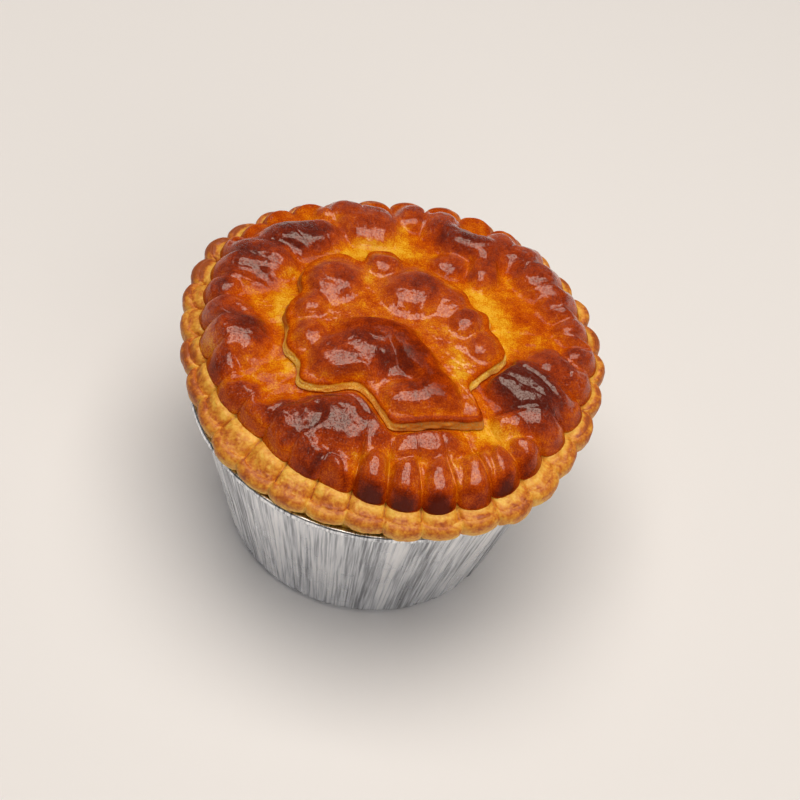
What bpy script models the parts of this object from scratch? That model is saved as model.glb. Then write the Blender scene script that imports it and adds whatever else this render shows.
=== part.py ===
"""Mini seafood pie in its own foil cup.

Four solids: the foil cup, the bottom pastry with all that it holds, the
egg-washed lid with its crimped edge, and the cut-out of dough on top of it.
Metres, +Z up. The origin is the centre of the cup's flat base, and the
camera side of the pie looks towards -Y.
"""

import math
import random

import bmesh
import bpy

MM = 0.001
GAP = 0.3 * MM                     # kept between two pieces that touch

# Foil cup
CUP_HEIGHT = 44.0 * MM
CUP_RIM_RADIUS = 44.0 * MM         # outside of the rolled rim
CUP_BASE_RADIUS = 32.2 * MM        # outside of the bottom corner
CUP_CORNER = 1.9 * MM              # radius of the bottom corner
CUP_WALL = 0.4 * MM
RIM_BAND = 1.8 * MM                # height of the rolled rim
RIM_ROLL = 1.0 * MM                # how far the rolled rim stands out
CREASE_COUNT = 68                  # upright creases pressed into the wall
CREASE_DEPTH = 0.45 * MM
CREASE_SEED = 11

# Crimped edge, round the lid's own centre, which sits back from the cup's
LID_CENTRE = (0.5 * MM, 4.7 * MM)
EDGE_LEVEL = 49.8 * MM             # height of the edge at the lid's centre line
EDGE_LEAN = (-0.015, 0.033)        # how the edge climbs to the right and back
CRIMP_COUNT = 34
CRIMP_STEPS = 4                    # faces across one crimp
EDGE_RADIUS = 48.8 * MM
TIP_RADIUS = 44.9 * MM             # where the lid's crimped fingers end
TIP_NOTCH = 2.4 * MM               # depth of the cuts between the fingers, in plan
TIP_REACH = ((-47, 5, 18, 1.2 * MM), (-112, 4, 14, 1.0 * MM))    # arcs where the tips lie further out:
                                   # middle, half width and end in degrees, and how far
FLANGE_TOP = 1.0 * MM              # bottom pastry's edge, above the edge level
FLANGE_DROP = 4.2 * MM             # and below it, down to the cup's rim,
FLANGE_TAPER = 0.6 * MM            # where it draws in
FLANGE_WAIST = 1.0 * MM            # below the edge level it is widest,
FLANGE_ROUND = 2.0 * MM            # and above that it rounds in over this much
FLANGE_GROOVE = 0.7 * MM
CRIMP_SPREAD = 0.4 * MM            # how unlike each other the crimps are
CRIMP_SEED = 5

# Hand-made unevenness: (waves in a turn, size, angle of its crest in degrees)
EDGE_WAVES = ((1, 0.5 * MM, -105), (2, 0.5 * MM, -100), (3, 1.15 * MM, 127), (4, 0.6 * MM, -119),
              (5, 0.7 * MM, 72))
EDGE_NOTCH = (2.3 * MM, ((1, 0.9 * MM, 90),))       # scallops, shallow in front and deep at the back
TIP_WAVES = ((1, 1.3 * MM, 66), (2, 0.9 * MM, -82), (3, 1.3 * MM, 126), (5, 0.8 * MM, -2))
CRIMP_WAVES = ((1, 2.3, -93), (2, 0.8, -4), (3, 1.5, -152))    # sizes in degrees
CRIMP_START = 3.3                  # degrees
LIFT_WAVES = ((1, 0.7 * MM, 60), (2, 0.6 * MM, -90))

# Lid
LID_SEAT = 1.3 * MM                # underside at the edge, above the edge level
LID_SEAT_RISE = 2.9 * MM           # how much higher the underside is at the centre
LID_EDGE = 3.6 * MM                # top at the edge, above the edge level
LID_RISE = 4.2 * MM                # how much higher the top is at the centre
FINGER_HEIGHT = 2.1 * MM           # crimped fingers over the grooves between them
FINGER_GROOVE = 0.9 * MM
FINGER_START = 0.87                # part of the way out where they begin,
FINGER_REACH = 0.15                # and how much nearer the centre at the front
FINGER_FRONT = (-69, 27, 36)       # arc of the long fingers: middle, half width and end, degrees
FINGER_LOW = (-133, 26, 38)        # arc where the lid runs down to the edge with hardly a finger
BLISTER_ROUND = 0.8                # below 1 the top is flat and the side steep
BLISTER_FOOT = 0.8                 # share of the blister over which its foot eases in

# Blisters of the lid: (x, y, half length, half width, turn in degrees, height), mm
LID_BLISTERS = (
    (-26, 27, 13, 8.5, 15, 4.2), (-35, 17.5, 12, 10, 10, 4.2), (-41, 9.5, 7, 5.5, 0, 2.8),
    (-37.5, -5.5, 14, 10, -8, 4.6), (-38.5, 3, 8, 5, -15, 2.8), (-38, -14, 8.5, 6.5, 10, 3.2),
    (-31, -21, 8, 6.5, 25, 2.8), (-26.5, -26, 7, 6, 40, 2.6),
    (-7, -24, 15, 11.5, -5, 4.3), (-18, -27, 10, 8.5, -30, 3.6), (-14, -34, 8.5, 6.5, -30, 2.8),
    (-8, -36, 6, 6, 0, 3.0), (11, -25, 11, 6.5, 5, 3.0), (2, -36.5, 5, 9, 0, 3.0),
    (9.2, -36, 5, 8.5, -5, 3.0), (16.4, -34.5, 4.8, 9.5, -3, 3.0), (23.5, -31.5, 4.8, 8.5, 8, 2.8),
    (30, -27, 5.5, 8, 30, 3.0), (34.5, -22, 6.5, 5.5, -35, 2.8), (37.5, -14.5, 7.5, 6, -15, 2.8),
    (31.5, -5, 13.5, 10.5, -22, 5.0), (32, -13.5, 11, 5.5, 20, 3.3), (36, 3, 9, 6, -25, 4.0),
    (43, 8, 6.5, 5, 12, 2.8), (42.5, 1.5, 5, 5, 0, 2.4), (41, 16.5, 8, 6, 20, 3.0),
    (36.5, 23.5, 8.5, 6.5, 30, 3.4), (31, 29.5, 8.5, 8, 50, 3.8), (27, 36, 7, 6.5, 50, 3.2),
    (12.5, 35, 11.5, 6.5, -20, 4.4), (17, 27.5, 4.6, 8, -5, 3.4), (9, 27, 6, 5.5, 0, 2.0),
    (20.5, 37, 7.5, 7, 0, 3.2), (-11, 36, 11, 9.5, 5, 4.0), (-1.5, 42, 6, 6, 0, 3.0),
    (5.5, 40.5, 7, 6.5, 0, 3.2), (-18, 40, 8, 6, 30, 2.8),
)

# Cut-out of dough on the lid: its outline, in mm, anticlockwise from the tip at the right
CUTOUT_OUTLINE = (
    (24.5, 1), (23, 5.5), (20.5, 8), (19.5, 12), (16, 13.5), (13.5, 17.5), (8, 20.5),
    (2.5, 23.5), (-1, 23), (-4.5, 25.5), (-9, 24.5), (-10.5, 20.5), (-15.5, 22),
    (-21, 18.5), (-23, 13), (-22, 8.5), (-24, 4.5), (-24, 0.5), (-22.8, -3), (-22.5, -7.5),
    (-18.8, -11.5), (-17.6, -16.2), (-12, -16.6), (-6, -14.6), (-2.2, -17), (1, -20.6),
    (4.2, -22.8), (12.5, -20.2), (21.5, -17.4), (20.5, -13.5), (18, -9.5), (20, -5.5),
)
CUTOUT_MIDDLE = (0.0, 1.0)         # mm, the point that the outline is seen from
CUTOUT_STEPS = 2                   # faces between two outline points
CUTOUT_EDGE = 2.4 * MM             # height of its cut edge
CUTOUT_SHOULDER = 0.5 * MM
CUTOUT_MARGIN = 1.8 * MM           # of lid kept free of blisters round it
CUTOUT_APPROACH = 5.4 * MM         # distance from it where they have their full height
CUTOUT_BLISTERS = (
    (-16, 12.5, 8.5, 8, 30, 2.4), (-5.5, 21, 5.5, 5.5, 0, 2.0), (2.5, 13.5, 9.5, 8.5, 40, 2.6),
    (10, 13.5, 6, 6, 0, 1.4), (-9, -9.7, 10.5, 9.7, 0, 3.2), (-5, -6, 9, 5, -12, 2.9),
    (-3.5, -1.5, 12, 5.5, 3, 3.2), (5, -5.5, 10.5, 5, -42, 3.2), (11.5, -13, 9, 5, -52, 2.8),
    (7, -16.5, 9, 6, 12, 2.2), (15.3, 8, 6, 4.4, 63, 2.0), (20.5, 2, 5.5, 5.5, 0, 1.5),
    (-20, 4.5, 5.5, 5.5, 0, 1.8), (-18.5, -4.5, 5.5, 5.5, 20, 1.8),
)

# Rings of faces from the centre (0) to the edge (1)
LID_TOP_RINGS = (0.26, 0.42, 0.50, 0.57, 0.64, 0.71, 0.77, 0.83, 0.89, 0.94, 0.98)
SEAT_RINGS = (0.30, 0.58, 0.82)
CUTOUT_RINGS = (0.25, 0.45, 0.62, 0.77, 0.89)


def waves(angle, mean, terms):
    """A mean with a few cosine waves round the turn laid over it."""
    return mean + sum(size * math.cos(count * angle - math.radians(crest))
                      for count, size, crest in terms)


def blend(low, high, value):
    """0 below low, 1 above high and a smooth step between."""
    t = min(1.0, max(0.0, (value - low) / (high - low)))
    return t * t * (3.0 - 2.0 * t)


def crimp_count_at(angle):
    """How many crimps lie between angle 0 and this angle."""
    degrees = math.degrees(angle) + waves(angle, CRIMP_START, CRIMP_WAVES)
    return degrees * CRIMP_COUNT / 360.0


def crimp_angle(count):
    """The angle at which that many crimps have passed."""
    angle = math.radians(count * 360.0 / CRIMP_COUNT)
    for _ in range(12):
        angle -= math.radians((crimp_count_at(angle) - count) * 360.0 / CRIMP_COUNT)
    return angle


def crest(angle, fullness=2.4):
    """1 along the middle of a crimp, 0 in the cut between two."""
    count = crimp_count_at(angle)
    across = 2.0 * abs(count - round(count))
    return math.sqrt(max(0.0, 1.0 - across ** fullness))


def edge_level(x, y):
    """Height of the middle of the crimped edge, carried in over the whole lid."""
    return EDGE_LEVEL + EDGE_LEAN[0] * (x - LID_CENTRE[0]) + EDGE_LEAN[1] * (y - LID_CENTRE[1])


def lid_point(angle, radius):
    """Plan position at a radius round the lid's centre."""
    return (LID_CENTRE[0] + radius * math.cos(angle), LID_CENTRE[1] + radius * math.sin(angle))


def own_share(angle, which):
    """What sets one crimp apart from its neighbours, fading to 0 at its cuts."""
    index = round(crimp_count_at(angle)) % CRIMP_COUNT
    return CRIMP_SPREAD * OWN_SHARES[which][index] * crest(angle)


def edge_radius(angle):
    notch = waves(angle, *EDGE_NOTCH) * (1.0 - crest(angle, 1.8))
    return waves(angle, EDGE_RADIUS, EDGE_WAVES) - notch + own_share(angle, 0)


def edge_lift(angle):
    """How far the outer edge is pulled up or sags here."""
    return waves(angle, 0.0, LIFT_WAVES) + own_share(angle, 1)


def tip_radius(angle):
    notch = TIP_NOTCH * (1.0 - crest(angle, 1.8)) * (1.0 - 0.55 * arc(angle, *FINGER_LOW))
    reach = sum(size * arc(angle, middle, half, end) for middle, half, end, size in TIP_REACH)
    return waves(angle, TIP_RADIUS, TIP_WAVES) + reach - notch + own_share(angle, 2)


def arc(angle, middle, half, end):
    """1 inside an arc of the turn, falling to 0 at its ends."""
    off = math.degrees(abs((angle - math.radians(middle) + math.pi) % math.tau - math.pi))
    return 1.0 - blend(half, end, off)


def finger_part(angle, part):
    """How much of a finger's height stands at this part of the way out."""
    front, low = arc(angle, *FINGER_FRONT), arc(angle, *FINGER_LOW)
    start = FINGER_START - FINGER_REACH * front
    return blend(start, start + 0.12, part) * (0.7 + 0.3 * front - 0.45 * low)


def puff_fade(angle, part):
    """How the blisters die away at the lid's edge: a long even slope along the front fingers."""
    front = arc(angle, *FINGER_FRONT)
    slope = 0.55 * min(1.0, max(0.0, (part - 0.76) / 0.21)) + 0.45 * blend(0.93, 1.0, part)
    return 1.0 - (front * slope + (1.0 - front) * blend(0.89, 1.0, part))


def puffs(x, y, blisters):
    """Height of the blisters at a point: the highest leads, with soft joins."""
    total = 0.0
    for cx, cy, length, width, turn, height in blisters:
        dx, dy = x / MM - cx, y / MM - cy
        c, s = math.cos(math.radians(turn)), math.sin(math.radians(turn))
        away = ((dx * c + dy * s) / length) ** 2 + ((dy * c - dx * s) / width) ** 2
        inside = max(0.0, 1.0 - away)
        total += (height * inside ** BLISTER_ROUND * blend(0.0, BLISTER_FOOT, inside)) ** 3
    return total ** (1.0 / 3.0) * MM


def smooth_outline(points, steps):
    """A closed curve through the points, with this many steps between two."""
    curve = []
    count = len(points)
    for i in range(count):
        p0, p1, p2, p3 = (points[(i + k - 1) % count] for k in range(4))
        for j in range(steps):
            t = j / steps
            curve.append(tuple(0.5 * MM * (2 * b + (c - a) * t + (2 * a - 5 * b + 4 * c - d) * t ** 2
                                           + (3 * b - a - 3 * c + d) * t ** 3)
                               for a, b, c, d in zip(p0, p1, p2, p3)))
    return curve


OUTLINE = smooth_outline(CUTOUT_OUTLINE, CUTOUT_STEPS)
DRAW = random.Random(CRIMP_SEED)
OWN_SHARES = [[DRAW.uniform(-1.0, 1.0) for _ in range(CRIMP_COUNT)] for _ in range(3)]


def outline_distance(x, y):
    """Distance to the cut-out's outline, negative inside it."""
    nearest = math.inf
    inside = False
    for (ax, ay), (bx, by) in zip(OUTLINE, OUTLINE[1:] + OUTLINE[:1]):
        dx, dy = bx - ax, by - ay
        t = min(1.0, max(0.0, ((x - ax) * dx + (y - ay) * dy) / (dx * dx + dy * dy)))
        nearest = min(nearest, math.hypot(x - ax - t * dx, y - ay - t * dy))
        if (ay > y) != (by > y) and x < ax + (y - ay) * dx / dy:
            inside = not inside
    return -nearest if inside else nearest


def lid_top(angle, part):
    """Point on the lid's top, at this part of the way from its centre to its tips."""
    x, y = lid_point(angle, part * tip_radius(angle))
    swell = LID_RISE * (1.0 - part * part)
    clear = blend(CUTOUT_MARGIN, CUTOUT_APPROACH, outline_distance(x, y))
    blister = puffs(x, y, LID_BLISTERS) * puff_fade(angle, part)
    ridge = crest(angle) * FINGER_HEIGHT + own_share(angle, 1) - FINGER_GROOVE
    finger = ridge * finger_part(angle, part) * min(1.0, (1.0 - part) / 0.04)
    rounded = LID_SEAT + (LID_EDGE - LID_SEAT) * math.sqrt(1.0 - blend(0.90, 1.0, part) ** 2)
    return (x, y, edge_level(x, y) + rounded + swell + clear * (blister + finger))


def lid_seat(angle, part, lowered=0.0):
    """Point on the lid's underside, or below it by the given distance."""
    x, y = lid_point(angle, part * tip_radius(angle))
    return (x, y, edge_level(x, y) + LID_SEAT + LID_SEAT_RISE * (1.0 - part * part) - lowered)


def column_angles():
    """Angles of the mesh columns, so that each cut has a column of its own."""
    return [crimp_angle(i / CRIMP_STEPS) for i in range(CRIMP_COUNT * CRIMP_STEPS)]


def closed_rings(name, rings, bottom, top, material):
    """A solid from rings of equal length, closed by a fan at each end.

    The rings run from the bottom centre out, up and back in to the top centre.
    """
    mesh = bmesh.new()
    loops = [[mesh.verts.new(p) for p in ring] for ring in rings]
    count = len(loops[0])
    low, high = mesh.verts.new(bottom), mesh.verts.new(top)
    for i in range(count):
        j = (i + 1) % count
        mesh.faces.new((low, loops[0][j], loops[0][i]))
        mesh.faces.new((high, loops[-1][i], loops[-1][j]))
        for lower, upper in zip(loops, loops[1:]):
            mesh.faces.new((lower[i], lower[j], upper[j], upper[i]))
    bmesh.ops.triangulate(mesh, faces=mesh.faces[:])
    bmesh.ops.recalc_face_normals(mesh, faces=mesh.faces[:])
    data = bpy.data.meshes.new(name)
    mesh.to_mesh(data)
    mesh.free()
    data.shade_smooth()
    data.set_sharp_from_angle(angle=math.radians(40))
    data.materials.append(material)
    obj = bpy.data.objects.new(name, data)
    bpy.context.collection.objects.link(obj)
    return obj


def material(name, colour, roughness, metallic=0.0, coat=0.0):
    made = bpy.data.materials.new(name)
    made.use_nodes = True
    shader = made.node_tree.nodes["Principled BSDF"]
    shader.inputs["Base Color"].default_value = (*colour, 1.0)
    shader.inputs["Roughness"].default_value = roughness
    shader.inputs["Metallic"].default_value = metallic
    shader.inputs["Coat Weight"].default_value = coat
    return made


def wall_radius(height):
    """Radius of the cup's outer wall at a height, below the rolled rim."""
    top = CUP_RIM_RADIUS - RIM_ROLL
    return CUP_BASE_RADIUS + (top - CUP_BASE_RADIUS) * height / CUP_HEIGHT


def make_cup():
    """Thin foil cup: flat base, round corner, creased wall and rolled rim."""
    draw = random.Random(CREASE_SEED)
    dents = [draw.uniform(0.35, 1.0) * (i % 2) * CREASE_DEPTH for i in range(CREASE_COUNT)]
    turns = [math.tau * (i + draw.uniform(-0.22, 0.22)) / CREASE_COUNT for i in range(CREASE_COUNT)]
    band = CUP_HEIGHT - RIM_BAND
    wall = [(wall_radius(z), z, dent) for z, dent in
            ((CUP_CORNER, 0.3), (9 * MM, 0.8), (24 * MM, 1.0), (band - 3 * MM, 0.7), (band, 0.0))]
    outer = [(CUP_BASE_RADIUS - CUP_CORNER, 0.0, 0.0),
             (CUP_BASE_RADIUS - 0.35 * CUP_CORNER, 0.25 * CUP_CORNER, 0.0), *wall]
    roll = [(CUP_RIM_RADIUS - 0.2 * RIM_ROLL, band + 0.2 * MM, 0.0),
            (CUP_RIM_RADIUS, CUP_HEIGHT - 0.5 * RIM_BAND, 0.0),
            (CUP_RIM_RADIUS - 0.25 * RIM_ROLL, CUP_HEIGHT - 0.15 * MM, 0.0),
            (CUP_RIM_RADIUS - 0.7 * RIM_ROLL, CUP_HEIGHT, 0.0)]
    inner = [(r - CUP_WALL, max(z, CUP_WALL), dent) for r, z, dent in reversed(outer)]
    rings = [[((r - dents[i] * dent) * math.cos(turns[i]), (r - dents[i] * dent) * math.sin(turns[i]), z)
              for i in range(CREASE_COUNT)] for r, z, dent in outer + roll + inner]
    foil = material("aluminium_foil", (0.75, 0.75, 0.76), 0.3, metallic=1.0)
    return closed_rings("foil_cup", rings, (0, 0, 0), (0, 0, CUP_WALL), foil)


def make_case():
    """Bottom pastry and what it holds: fills the cup and spreads over its rim."""
    inset = CUP_WALL + CREASE_DEPTH + GAP
    base = CUP_WALL + GAP
    neck = CUP_RIM_RADIUS - RIM_ROLL - CUP_WALL - GAP
    body = [(CUP_BASE_RADIUS - CUP_CORNER - inset, base),
            (wall_radius(CUP_CORNER) - inset, base + 0.6 * CUP_CORNER),
            (wall_radius(0.5 * CUP_HEIGHT) - inset, 0.5 * CUP_HEIGHT),
            (wall_radius(CUP_HEIGHT - RIM_BAND) - inset, CUP_HEIGHT - RIM_BAND - 2 * MM),
            (neck, CUP_HEIGHT + 2 * GAP)]
    columns = []
    for angle in column_angles():
        edge = edge_radius(angle)
        x, y = lid_point(angle, edge)
        turn = math.atan2(y, x)
        column = [(r * math.cos(turn), r * math.sin(turn), z) for r, z in body]
        rise = FLANGE_TOP + 0.5 * MM * crest(angle)
        level = edge_level(x, y) + edge_lift(angle)
        low = max(level - FLANGE_DROP, CUP_HEIGHT + 2 * GAP)
        waist = level - FLANGE_WAIST
        tip = tip_radius(angle)
        shoulder = min(FLANGE_ROUND, 0.42 * (edge - tip))
        for inward, height in ((FLANGE_TAPER, low), (0.0, waist),
                               (0.25 * shoulder, level + 0.15 * rise),
                               (shoulder, level + 0.5 * rise)):
            column.append((*lid_point(angle, edge - inward), height))
        x, y = lid_point(angle, 0.5 * (edge + tip))
        column.append((x, y, edge_level(x, y) + 0.75 * rise - FLANGE_GROOVE * (1.0 - crest(angle))))
        column += [lid_seat(angle, part, lowered=GAP) for part in (1.0, *reversed(SEAT_RINGS))]
        columns.append(column)
    rings = list(zip(*columns))
    pastry = material("pale_pastry", (0.72, 0.42, 0.13), 0.75)
    return closed_rings("pastry_case", rings, (0, 0, base), lid_seat(0.0, 0.0, lowered=GAP), pastry)


def make_lid():
    """Lid: a domed sheet of dough with blisters and crimped fingers."""
    columns = []
    for angle in column_angles():
        column = [lid_seat(angle, part) for part in (*SEAT_RINGS, 1.0)]
        column += [lid_top(angle, part) for part in reversed(LID_TOP_RINGS)]
        columns.append(column)
    glazed = material("glazed_lid", (0.62, 0.19, 0.03), 0.35, coat=1.0)
    return closed_rings("pastry_lid", list(zip(*columns)), lid_seat(0.0, 0.0), lid_top(0.0, 0.0), glazed)


def lid_level(x, y):
    """Height of the plain lid under the cut-out."""
    dx, dy = x - LID_CENTRE[0], y - LID_CENTRE[1]
    part = math.hypot(dx, dy) / tip_radius(math.atan2(dy, dx))
    return edge_level(x, y) + LID_EDGE + LID_RISE * (1.0 - part * part)


def make_cutout():
    """Cut-out: a lobed leaf of dough with a cut edge and blisters of its own."""
    mx, my = (value * MM for value in CUTOUT_MIDDLE)

    def at(point, part, height, blister):
        x, y = mx + part * (point[0] - mx), my + part * (point[1] - my)
        fade = 1.0 - blend(0.82, 1.0, part)
        return (x, y, lid_level(x, y) + GAP + height + blister * fade * puffs(x, y, CUTOUT_BLISTERS))

    parts = CUTOUT_RINGS
    rings = [[at(p, part, 0.0, 0.0) for p in OUTLINE] for part in (parts[0], parts[2], parts[4], 0.97)]
    rings.append([at(p, 1.0, 0.3 * CUTOUT_EDGE, 0.0) for p in OUTLINE])
    rings.append([at(p, 1.0, CUTOUT_EDGE - CUTOUT_SHOULDER, 0.0) for p in OUTLINE])
    rings += [[at(p, part, CUTOUT_EDGE, 1.0) for p in OUTLINE] for part in (0.96, *reversed(parts))]
    glazed = material("glazed_cutout", (0.55, 0.15, 0.03), 0.35, coat=1.0)
    middle = (mx, my)
    return closed_rings("pastry_cutout", rings, at(middle, 0.0, 0.0, 0.0),
                        at(middle, 0.0, CUTOUT_EDGE, 1.0), glazed)


def main():
    for old in list(bpy.data.objects):
        bpy.data.objects.remove(old, do_unlink=True)
    for made in (make_cup(), make_case(), make_lid(), make_cutout()):
        print(made.name, len(made.data.polygons), "triangles")


main()
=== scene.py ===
# %% [markdown]
# # Mini seafood pie in a foil cup
#
# The real thing is a small deep pie: a cup of thin pressed aluminium, a bottom
# pastry whose edge spreads over the cup's rim, a lid of dough with pinched
# fingers all round, and a cut-out leaf of dough laid on the lid before baking.
# The CAD model gives four plain solids. Here each one gets a fine skin, worked
# out from the same named sizes, and a finish of its own. Sizes are in metres,
# angles run anticlockwise from +X, and the side of the pie that the camera sees
# looks towards -Y.

import math
import random
from types import SimpleNamespace

import bpy
import numpy as np
from mathutils import Matrix, Vector


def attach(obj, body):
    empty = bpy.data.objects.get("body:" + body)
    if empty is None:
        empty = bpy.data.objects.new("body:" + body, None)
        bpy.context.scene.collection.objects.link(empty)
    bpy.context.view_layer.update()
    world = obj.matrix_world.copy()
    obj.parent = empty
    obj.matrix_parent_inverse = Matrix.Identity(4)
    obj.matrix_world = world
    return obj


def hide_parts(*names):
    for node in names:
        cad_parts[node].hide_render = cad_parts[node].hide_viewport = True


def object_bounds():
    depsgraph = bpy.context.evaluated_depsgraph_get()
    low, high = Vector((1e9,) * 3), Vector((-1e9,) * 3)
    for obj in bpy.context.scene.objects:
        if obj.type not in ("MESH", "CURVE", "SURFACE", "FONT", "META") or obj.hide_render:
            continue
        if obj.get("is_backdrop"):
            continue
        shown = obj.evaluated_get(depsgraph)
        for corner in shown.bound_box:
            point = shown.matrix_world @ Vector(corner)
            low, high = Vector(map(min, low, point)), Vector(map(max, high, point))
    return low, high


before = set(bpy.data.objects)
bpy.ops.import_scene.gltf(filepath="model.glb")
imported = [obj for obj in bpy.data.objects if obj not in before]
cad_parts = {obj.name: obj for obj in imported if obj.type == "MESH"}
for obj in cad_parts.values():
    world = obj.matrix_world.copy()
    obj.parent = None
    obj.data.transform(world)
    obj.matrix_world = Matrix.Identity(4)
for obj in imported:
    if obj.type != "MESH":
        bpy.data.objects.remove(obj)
cad_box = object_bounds()
MM = 0.001
print("nodes:", ", ".join(sorted(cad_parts)))

# %% [markdown]
# ## A handmade circle
#
# A cook's edge is a circle that wanders a little, with pinches that are never
# quite the same. Sculpted by hand, it would lose its sizes in a heap of points.
# Here a few cosine waves bend the circle, a crest function gives each pinch its
# round back and sharp cut, and a seeded draw sets it apart. The functions take
# whole NumPy arrays, so a skin of 100,000 points takes a moment.

# %% Waves, blends and arcs
def waves(angle, mean, terms):
    """A mean with cosine waves laid over it, each (how many round the turn, size, phase in degrees)."""
    return mean + sum(size * np.cos(count * angle - math.radians(phase)) for count, size, phase in terms)


def blend(low, high, value):
    """0 below low, 1 above high and a smooth step between."""
    t = np.clip((value - low) / (high - low), 0.0, 1.0)
    return t * t * (3.0 - 2.0 * t)


def arc(angle, middle, half, end):
    """1 within half of the middle of an arc, falling to 0 at its end, all in degrees."""
    off = np.degrees(np.abs((angle - math.radians(middle) + math.pi) % math.tau - math.pi))
    return 1.0 - blend(half, end, off)


def over_arcs(angle, arcs):
    """Sum of amounts that each hold along one arc: (middle, half, end, amount)."""
    return sum(amount * arc(angle, middle, half, end) for middle, half, end, amount in arcs)


# %% Crimps
CRIMP_COUNT = 34
CRIMP_START = 3.3  # degrees by which the first crimp is turned
CRIMP_WAVES = ((1, 2.3, -93), (2, 0.8, -4), (3, 1.5, -152))  # degrees by which crimps crowd and spread
CRIMP_SPREAD = 0.4 * MM  # how far one crimp may differ from its neighbours
CRIMP_SEED = 5


def crimp_count_at(angle):
    """How many crimps lie between angle 0 and this angle."""
    return (np.degrees(angle) + waves(angle, CRIMP_START, CRIMP_WAVES)) * CRIMP_COUNT / 360.0


def crimp_angle(count):
    """The angle at which that many crimps have passed, found by closing in on it."""
    angle = np.radians(count * 360.0 / CRIMP_COUNT)
    for _ in range(12):
        angle = angle - np.radians((crimp_count_at(angle) - count) * 360.0 / CRIMP_COUNT)
    return angle


def crest(angle, fullness=2.4):
    """1 along the middle of a crimp, 0 in the cut between two. Fuller crimps have squarer shoulders."""
    count = crimp_count_at(angle)
    across = 2.0 * np.abs(count - np.round(count))
    return np.sqrt(np.maximum(0.0, 1.0 - across ** fullness))


draw = random.Random(CRIMP_SEED)
OWN_SHARES = np.array([[draw.uniform(-1.0, 1.0) for _ in range(CRIMP_COUNT)] for _ in range(3)])
EDGE_SHARE, HEIGHT_SHARE, TIP_SHARE = range(3)  # what each of the three draws is used for


def own_share(angle, which):
    """What sets one crimp apart from its neighbours, fading to 0 at its cuts."""
    index = np.round(crimp_count_at(angle)).astype(int) % CRIMP_COUNT
    return CRIMP_SPREAD * OWN_SHARES[which][index] * crest(angle)


COLUMN_STEPS = 28  # columns of the pastry skins in one crimp
COLUMN_ANGLES = crimp_angle(np.arange(CRIMP_COUNT * COLUMN_STEPS) / COLUMN_STEPS)
print(CRIMP_COUNT, "crimps,", len(COLUMN_ANGLES), "columns")

# %% Plan and height of the edge
LID_CENTRE = (0.5 * MM, 4.7 * MM)
EDGE_LEVEL = 49.8 * MM
EDGE_LEAN = (-0.015, 0.033)  # slope towards +X and +Y, because the lid sits a little askew
EDGE_RADIUS = 48.8 * MM
EDGE_WAVES = ((1, 0.5 * MM, -105), (2, 0.5 * MM, -100), (3, 1.15 * MM, 127),
              (4, 0.6 * MM, -119), (5, 0.7 * MM, 72))
EDGE_NOTCH = (2.3 * MM, ((1, 0.9 * MM, 90),))  # shallow at the front, deep at the back
LIFT_WAVES = ((1, 0.7 * MM, 60), (2, 0.6 * MM, -90))
NOTCH_FULLNESS = 1.8  # in plan a crimp's back is rounder than in profile


def edge_level(x, y):
    """Height of the middle of the crimped edge, carried in over the whole lid."""
    return EDGE_LEVEL + EDGE_LEAN[0] * (x - LID_CENTRE[0]) + EDGE_LEAN[1] * (y - LID_CENTRE[1])


def lid_point(angle, radius):
    """Plan position at a radius round the lid's centre."""
    return LID_CENTRE[0] + radius * np.cos(angle), LID_CENTRE[1] + radius * np.sin(angle)


def edge_radius(angle):
    """Radius of the crimped edge, which draws in at each cut."""
    notch = waves(angle, *EDGE_NOTCH) * (1.0 - crest(angle, NOTCH_FULLNESS))
    return waves(angle, EDGE_RADIUS, EDGE_WAVES) - notch + own_share(angle, EDGE_SHARE)


def edge_lift(angle):
    """How far the outer edge is pulled up or sags here."""
    return waves(angle, 0.0, LIFT_WAVES) + own_share(angle, HEIGHT_SHARE)


# %% Finger tips
TIP_RADIUS = 44.9 * MM
TIP_WAVES = ((1, 1.3 * MM, 66), (2, 0.9 * MM, -82), (3, 1.3 * MM, 126), (5, 0.8 * MM, -2))
TIP_NOTCH = 2.4 * MM
TIP_REACH = ((-47, 5, 18, 1.2 * MM), (-112, 4, 14, 1.0 * MM))  # arcs where the tips lie further out
FINGER_FRONT = (-69, 27, 36)  # arc of the long fingers
FINGER_LOW = (-133, 26, 38)  # arc where the lid runs down to the edge with hardly a finger
LOW_NOTCH_LOSS = 0.55  # share of the notch that is missing there


def tip_radius(angle):
    """Radius at which the lid ends, out at the finger tips and in at the cuts."""
    notch = TIP_NOTCH * (1.0 - LOW_NOTCH_LOSS * arc(angle, *FINGER_LOW))
    wander = waves(angle, TIP_RADIUS, TIP_WAVES) + over_arcs(angle, TIP_REACH)
    return wander - notch * (1.0 - crest(angle, NOTCH_FULLNESS)) + own_share(angle, TIP_SHARE)


ring_width = edge_radius(COLUMN_ANGLES) - tip_radius(COLUMN_ANGLES)
print("flange", (ring_width.min() / MM).round(1), "to", (ring_width.max() / MM).round(1), "mm wide")

# %% [markdown]
# ## Fine unevenness
#
# Dough is never smooth. A shader's bump would leave the outline and the large
# soft highlights too clean, so the skins really are uneven: a lattice of seeded
# random numbers, blended between its points, gives a noise of any width in
# millimetres, the same on every run.

# %% Soft noise in millimetres
LATTICE = np.random.default_rng(20).uniform(-1.0, 1.0, (64, 64, 64))


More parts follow.
